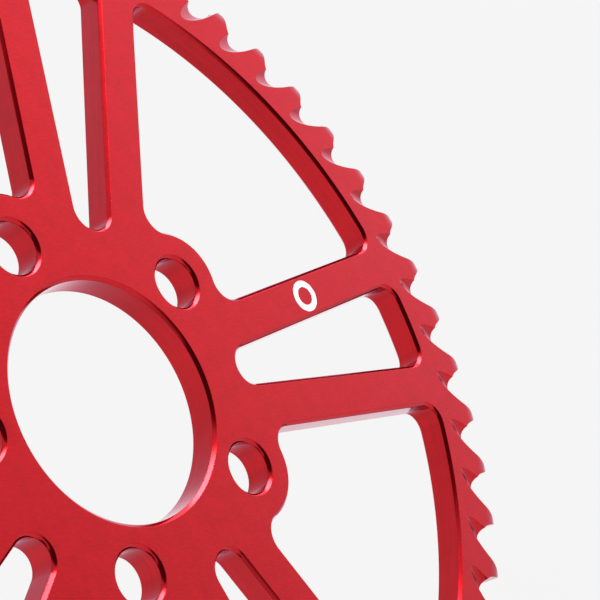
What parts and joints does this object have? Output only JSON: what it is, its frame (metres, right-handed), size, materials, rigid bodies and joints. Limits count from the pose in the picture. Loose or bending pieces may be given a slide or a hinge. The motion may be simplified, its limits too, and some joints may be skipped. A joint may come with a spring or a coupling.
{
  "type": "rear sprocket",
  "caption": "Flat toothed chain wheel with spoked windows, a hub bore, bolt holes round it and slanting mud grooves at the teeth.",
  "frame": {"origin": "on the wheel's axis at the middle of the plate's thickness", "axes": "+Y along the wheel's axis towards the hub side, -Y out of the front face with the mud grooves, +Z through the middle of one bolt hole"},
  "size_m": [0.2232, 0.0072, 0.2232],
  "materials": {
    "anodised_plate": "satin red anodising with a fine machining grain"
  },
  "bodies": {
    "root": {"sprocket": "anodised_plate"}
  },
  "joints": []
}
